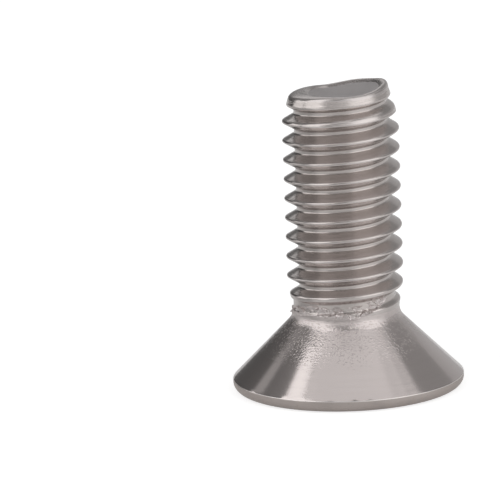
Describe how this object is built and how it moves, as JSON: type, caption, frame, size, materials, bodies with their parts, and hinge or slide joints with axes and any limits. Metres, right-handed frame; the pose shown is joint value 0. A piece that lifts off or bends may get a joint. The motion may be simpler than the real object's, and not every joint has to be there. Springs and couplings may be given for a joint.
{
  "type": "countersunk socket screw",
  "caption": "Flat countersunk head screw with a hexagon socket, a short bare neck, a coarse right-hand rolled thread and the dished end that rolling leaves.",
  "frame": {"origin": "centre of the flat face of the head, which is the face that it stands on", "axes": "+Z along the screw's axis, from the flat face of the head to the threaded end; +X towards the highest point of the rolled lip at that end; the hexagon has two corners on X"},
  "size_m": [0.0118, 0.0118, 0.0158],
  "materials": {
    "steel": "satin, turned on the cone and rolled on the thread"
  },
  "bodies": {
    "root": {"screw": "steel"}
  },
  "joints": []
}
